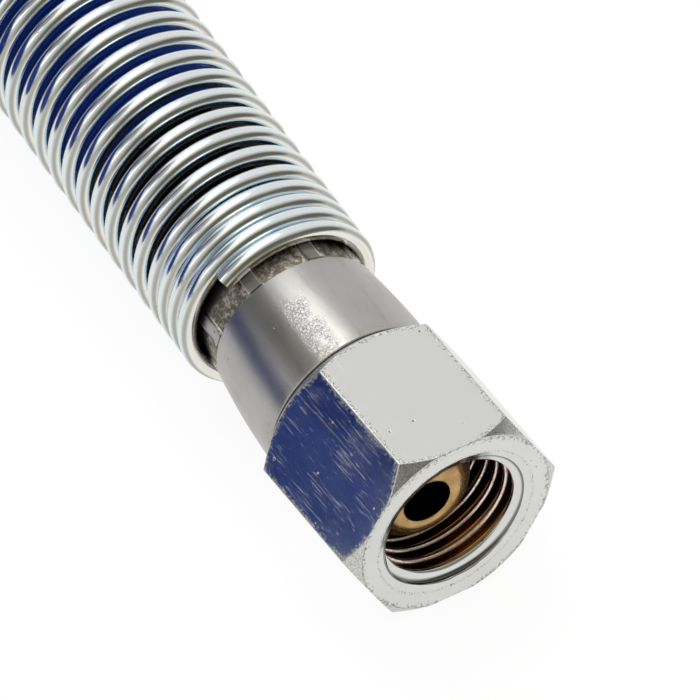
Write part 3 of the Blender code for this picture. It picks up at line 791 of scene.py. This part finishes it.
def guardTree():
    tree, given, out = newGroup("GeometryNodeTree", "woundGuard", [
        *((label, "NodeSocketInt" if isinstance(value, int) else "NodeSocketFloat", value)
          for label, value in guard.items()),
        ("Material", "NodeSocketMaterial", None),
    ], [("Geometry", "NodeSocketGeometry")])
    front, rear, close = given["Front Close Turns"], given["Rear Close Turns"], given["Close Pitch"]
    wireRadius = given["Wire Radius"]
    body = minus(given["Length"], times(wireRadius, 2.0))
    closed = times(plus(front, rear), close)
    openTurns = over(minus(body, closed), given["Open Pitch"])
    turns = plus(plus(front, rear), openTurns)
    line = addNode(tree, "GeometryNodeCurvePrimitiveLine", {"Start": (0, 0, 0), "End": (-1, 0, 0)})
    cut = addNode(tree, "GeometryNodeResampleCurve", {
        "Curve": line.outputs[0], "Count": times(turns, given["Points Per Turn"])})
    share = addNode(tree, "GeometryNodeSplineParameter").outputs["Factor"]
    turn = times(share, turns)
    inFront = lesser(turn, front)
    inOpen = lesser(greater(minus(turn, front), 0.0), openTurns)
    inRear = greater(minus(minus(turn, front), openTurns), 0.0)
    along = plus(times(plus(inFront, inRear), close), times(inOpen, given["Open Pitch"]))
    angle = minus(given["Front End Angle"], times(turn, math.tau))
    helix = minus(given["Outer Radius"], wireRadius)
    spot = joinXyz(minus(minus(given["Front"], wireRadius), along),
                   times(helix, calc("COSINE", angle)), times(helix, calc("SINE", angle)))
    wound = addNode(tree, "GeometryNodeSetPosition", {"Geometry": cut.outputs[0], "Position": spot})
    # The cut ends of the wire are a little nipped
    fromEnd = times(lesser(share, minus(1.0, share)), turns)
    nipped = fade(times(fromEnd, given["Points Per Turn"]), 0.0, 1.2, 0.72, 1.0)
    sized = addNode(tree, "GeometryNodeSetCurveRadius", {"Curve": wound.outputs[0], "Radius": nipped})
    # The wire's middle and its turn are kept, so that the skin knows its side and its grain
    kept = tree.nodes.new("GeometryNodeCaptureAttribute")
    kept.capture_items.new("VECTOR", "centre")
    kept.capture_items.new("FLOAT", "turn")
    here = addNode(tree, "GeometryNodeInputPosition").outputs[0]
    for name, value in (("Geometry", sized.outputs[0]), ("centre", here), ("turn", turn)):
        wire(kept.inputs[name], value)
    section = addNode(tree, "GeometryNodeCurvePrimitiveCircle",
                     {"Radius": wireRadius, "Resolution": given["Wire Sides"]})
    swept = addNode(tree, "GeometryNodeCurveToMesh", {
        "Curve": kept.outputs["Geometry"], "Profile Curve": section.outputs[0], "Fill Caps": True})
    _, cy, cz = parts(kept.outputs["centre"])
    ox, oy, oz = parts(onVectors("SUBTRACT", here, kept.outputs["centre"]))
    side = over(ox, wireRadius)
    outward = over(plus(times(cy, oy), times(cz, oz)), times(helix, wireRadius))
    grain = joinXyz(times(kept.outputs["turn"], grainStretch[0]), times(side, grainStretch[1]),
                    times(outward, grainStretch[1]))
    made = swept.outputs[0]
    for name, value, kind in (("wireSide", side, "FLOAT"), ("wireGrain", grain, "FLOAT_VECTOR")):
        made = addNode(tree, "GeometryNodeStoreNamedAttribute", {
            "Geometry": made, "Name": name, "Value": value}, data_type=kind, domain="POINT").outputs[0]
    smooth = addNode(tree, "GeometryNodeSetShadeSmooth", {"Geometry": made})
    giveMesh(smooth.outputs[0], given["Material"], out["Geometry"])
    return tree


# Hose route
hose = {
    "diameter": 13.0, "length": 1.72, "outerTurn": 83.0, "middleTurn": 70.0, "centre": (-122.5644, -83.4409),
    "coilTurns": 3.5, "easeDown": (76, 118), "rings": 430, "sides": 28,
}


def blendTo(value, low, high):
    share = min(1.0, max(0.0, (value - low) / (high - low)))
    return share * share * (3 - 2 * share)


def rollOver(share, start, stop):
    # The turn that climbs over the middle turn keeps one diameter from it
    turn = math.radians(start + (stop - start) * share)
    d = hose["diameter"]
    return hose["middleTurn"] - d * math.cos(turn), d / 2 + d * math.sin(turn)


def turnAt(t):
    # Radius and height of the hose's middle after t turns of the coil
    low, groove = hose["diameter"] / 2, rollOver(1.0, 0.0, 60.0)[1]
    if t < 2.4:
        shift = blendTo(t, 0.75, 1.0) + blendTo(t, 1.75, 2.0)
        return hose["outerTurn"] - (hose["outerTurn"] - hose["middleTurn"]) * shift, low
    if t < 2.75:
        return rollOver(blendTo(t, 2.4, 2.75), 0.0, 120.0)
    if t < 3.05:
        return hose["middleTurn"] + hose["diameter"] * (0.5 - blendTo(t, 2.75, 3.0)), groove
    return rollOver(blendTo(t, 3.05, 3.38), 60.0, 120.0)


def hoseRoute():
    cx, cy = hose["centre"]
    low, d = hose["diameter"] / 2, hose["diameter"]
    iron, boiler = ends["iron_end"]["pivot"], ends["boiler_end"]["pivot"]
    points = []
    start = iron[0] + ferrule["end"]
    for i in range(24):
        x = start + (cx - start) * i / 24
        points.append(Vector((x, iron[1], iron[2] + (low - iron[2]) * blendTo(-x, *hose["easeDown"]))))
    for i in range(0, round(100 * hose["coilTurns"]) + 1, 2):
        t = i / 100
        radius, height = turnAt(t)
        angle = math.radians(90 + 360 * t)
        points.append(Vector((cx + radius * math.cos(angle), cy + radius * math.sin(angle), height)))
    lean = math.radians(ends["boiler_end"]["lean"])
    end = Vector(boiler) + Vector((math.cos(lean), 0, -math.sin(lean))) * ferrule["end"]
    last = points[-1]
    for i in range(1, 25):
        x = last.x + (end.x - last.x) * i / 24
        onLine = end.z + (end.x - x) * math.tan(lean)
        out = math.hypot(x - cx, hose["middleTurn"] + d / 2)
        crossing = low + math.sqrt(max(0.0, d * d - (out - hose["outerTurn"]) ** 2))
        height = crossing if out < hose["outerTurn"] else low + d
        points.append(Vector((x, last.y + (end.y - last.y) * i / 24, min(onLine, height))))
    return points


def evenly(points, count):
    # Smooths the route a little, then spaces it evenly
    for _ in range(6):
        inner = [(a + 2 * b + c) / 4 for a, b, c in zip(points, points[1:], points[2:])]
        points = [points[0], points[1], *inner[1:-1], points[-2], points[-1]]
    run = [0.0]
    for a, b in zip(points, points[1:]):
        run.append(run[-1] + (b - a).length)
    spaced, k = [], 0
    for i in range(count):
        target = run[-1] * i / (count - 1)
        while k < len(run) - 2 and run[k + 1] < target:
            k += 1
        share = (target - run[k]) / (run[k + 1] - run[k])
        before, start, stop, after = (points[max(0, min(len(points) - 1, k + j))] for j in (-1, 0, 1, 2))
        spaced.append(0.5 * (2 * start + (stop - before) * share
                             + (2 * before - 5 * start + 4 * stop - after) * share ** 2
                             + (3 * start - before - 3 * stop + after) * share ** 3))
    return spaced, run[-1]


def hoseMesh(path):
    # A tube with its own UV map: round the hose, and along it in metres
    sides, radius = hose["sides"], hose["diameter"] / 2
    bm = bmesh.new()
    uv = bm.loops.layers.uv.new("hoseUv")
    rings, normal, run = [], Vector((0, 0, 1)), [0.0]
    for i, point in enumerate(path):
        ahead = (path[min(i + 1, len(path) - 1)] - path[max(i - 1, 0)]).normalized()
        normal = (normal - ahead * normal.dot(ahead)).normalized()
        beside = ahead.cross(normal)
        ring = []
        for j in range(sides):
            turn = math.tau * j / sides
            ring.append(bm.verts.new(point + radius * (math.cos(turn) * normal + math.sin(turn) * beside)))
        rings.append(ring)
        if i:
            run.append(run[-1] + (point - path[i - 1]).length)
    for i in range(1, len(rings)):
        for j in range(sides):
            k = (j + 1) % sides
            face = bm.faces.new((rings[i - 1][j], rings[i - 1][k], rings[i][k], rings[i][j]))
            spots = ((j, i - 1), (j + 1, i - 1), (j + 1, i), (j, i))
            for loop, (u, v) in zip(face.loops, spots):
                loop[uv].uv = (u / sides, run[v] * mm)
    bm.faces.new(rings[0])
    bm.faces.new(rings[-1])
    mesh = meshFrom(bm, "hose", 60)
    mesh.transform(Matrix.Scale(mm, 4))
    mesh.materials.append(hoseRubber)
    return mesh


path, routeLength = evenly(hoseRoute(), hose["rings"])
print("hose route:", round(routeLength), "mm")
tube = addObject("hose", hoseMesh(path))
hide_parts("hose_iron_run", "hose_coil", "hose_boiler_run")
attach(tube, "hose")

# Both ends
nut, tailpiece = nutMesh(), tailpieceMesh()
spring = runTree(guardTree(), {**guard, "Material": zinc}, "woundGuard")
print("shapes made: nut", len(nut.polygons), "guard", len(spring.polygons))
for prefix, end in ends.items():
    straight, swung = endMatrix(end), endMatrix(end, end["nutSwing"])
    made = [
        fitPiece(prefix + "NutTurned", nut, nickel, swung, end["nutBody"],
                 prefix + "_union_nut"),
        fitPiece(prefix + "BrassTail", tailpiece, brass, straight, "hose",
                 prefix + "_tailpiece"),
        fitPiece(prefix + "CrimpedFerrule", ferruleMesh(end["nutSwing"]), crimped, straight, "hose",
                 prefix + "_ferrule"),
        fitPiece(prefix + "WoundGuard", spring, zinc, straight, "hose",
                 prefix + "_bend_guard"),
    ]
    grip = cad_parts[prefix + "_hose_grip"]
    grip.data.materials.clear()
    grip.data.materials.append(gripRubber)
print("ends fitted")

# Floor, world and lamps
studio = {
    "floor": 12.0, "floorHeight": -0.1, "floorColour": (0.86, 0.86, 0.86), "floorRoughness": 0.9,
    "floorGlow": 0.86, "glowInMetal": 0.96, "glowSeen": 1.06, "sky": (0.85, 0.85, 0.85),
}


def addFloor():
    bm = bmesh.new()
    bmesh.ops.create_grid(bm, x_segments=1, y_segments=1, size=studio["floor"])
    mesh = bpy.data.meshes.new("floor")
    bm.to_mesh(mesh)
    bm.free()
    floor = addObject("floor", mesh)
    floor.location = (0, 0, studio["floorHeight"] * mm)
    material, tree, shader = newMaterial("paleFloor")
    shader.inputs["Base Color"].default_value = (*studio["floorColour"], 1)
    shader.inputs["Roughness"].default_value = studio["floorRoughness"]
    rays = addNode(tree, "ShaderNodeLightPath").outputs
    strength = fade(rays["Is Camera Ray"], 0.0, 1.0, studio["glowInMetal"], studio["glowSeen"], "LINEAR")
    glow = addNode(tree, "ShaderNodeEmission", {"Color": (1, 1, 1, 1), "Strength": strength})
    seen = greater(rays["Is Camera Ray"], rays["Is Glossy Ray"])
    mix = addNode(tree, "ShaderNodeMixShader", {
        "Fac": times(seen, studio["floorGlow"]), 1: shader.outputs[0], 2: glow.outputs[0]})
    wire(tree.nodes["Material Output"].inputs["Surface"], mix.outputs[0])
    mesh.materials.append(material)


# Soft patches of light or dark in the room round the object: direction, how wide, how strong
roomPatches = [
    {"towards": (-1.0, 0.0, 0.10), "from": 0.80, "to": 0.96, "colour": (0.95, 1.0, 1.08)},
    {"towards": (0.60, 0.78, 0.15), "from": 0.78, "to": 0.94, "colour": (0.25, 0.25, 0.24)},
    {"towards": (0.93, 0.05, 0.30), "from": 0.55, "to": 0.85, "colour": (0.24, 0.235, 0.20)},
    {"towards": (0.10, -0.40, 0.91), "from": 0.95, "to": 0.985, "colour": (1.25, 1.2, 1.05)},
    {"towards": (-0.29, -0.12, 0.95), "from": 0.91, "to": 0.955, "colour": (1.35, 1.35, 1.33)},
    {"towards": (-0.585, -0.563, 0.583), "from": 0.940, "to": 0.972, "colour": (0.38, 0.37, 0.31)},
    {"towards": (-0.30, -0.68, 0.67), "from": 0.955, "to": 0.985, "colour": (0.34, 0.34, 0.38)},
    {"towards": (-0.76, -0.50, 0.40), "from": 0.955, "to": 0.985, "colour": (0.13, 0.13, 0.12)},
    {"towards": (-0.585, 0.0, 0.811), "from": 0.950, "to": 0.976, "colour": (1.5, 1.5, 1.46)},
]


def addWorld():
    world = bpy.data.worlds.new("room")
    bpy.context.scene.world = world
    world.use_nodes = True
    tree = world.node_tree
    background = tree.nodes["Background"]
    towards = addNode(tree, "ShaderNodeTexCoord").outputs["Generated"]
    colour = (*studio["sky"], 1.0)
    for patch in roomPatches:
        lined = onVectors("DOT_PRODUCT", towards, Vector(patch["towards"]).normalized(), "Value")
        colour = mixColour(fade(lined, patch["from"], patch["to"]), colour, patch["colour"])
    seen = addNode(tree, "ShaderNodeLightPath").outputs["Is Camera Ray"]
    wire(background.inputs["Color"], mixColour(seen, colour, (1.0, 1.0, 1.0)))
    wire(background.inputs["Strength"], 1.0)


lamps = [
    {"name": "softboxAbove", "at": (-410, 0, 575), "size": (290, 290), "power": 0.45,
     "colour": (1.0, 0.99, 0.97)},
    {"name": "softboxLeft", "at": (-150, -620, 360), "size": (120, 320), "power": 0.15,
     "colour": (0.93, 0.97, 1.0)},
]


def addLamps():
    # Each softbox faces the point that the camera aims at
    for lamp in lamps:
        data = bpy.data.lights.new(lamp["name"], "AREA")
        data.shape = "RECTANGLE"
        data.size, data.size_y = lamp["size"][0] * mm, lamp["size"][1] * mm
        data.energy = lamp["power"]
        data.color = lamp["colour"]
        item = addObject(lamp["name"], data)
        item.location = Vector(lamp["at"]) * mm
        item.rotation_mode = "QUATERNION"
        item.rotation_quaternion = (Vector(view["aim"]) * mm - item.location).to_track_quat("-Z", "Y")
        item.visible_camera = False


addFloor()
addWorld()
addLamps()
bpy.context.scene.view_settings.view_transform = "Standard"
print("studio set")
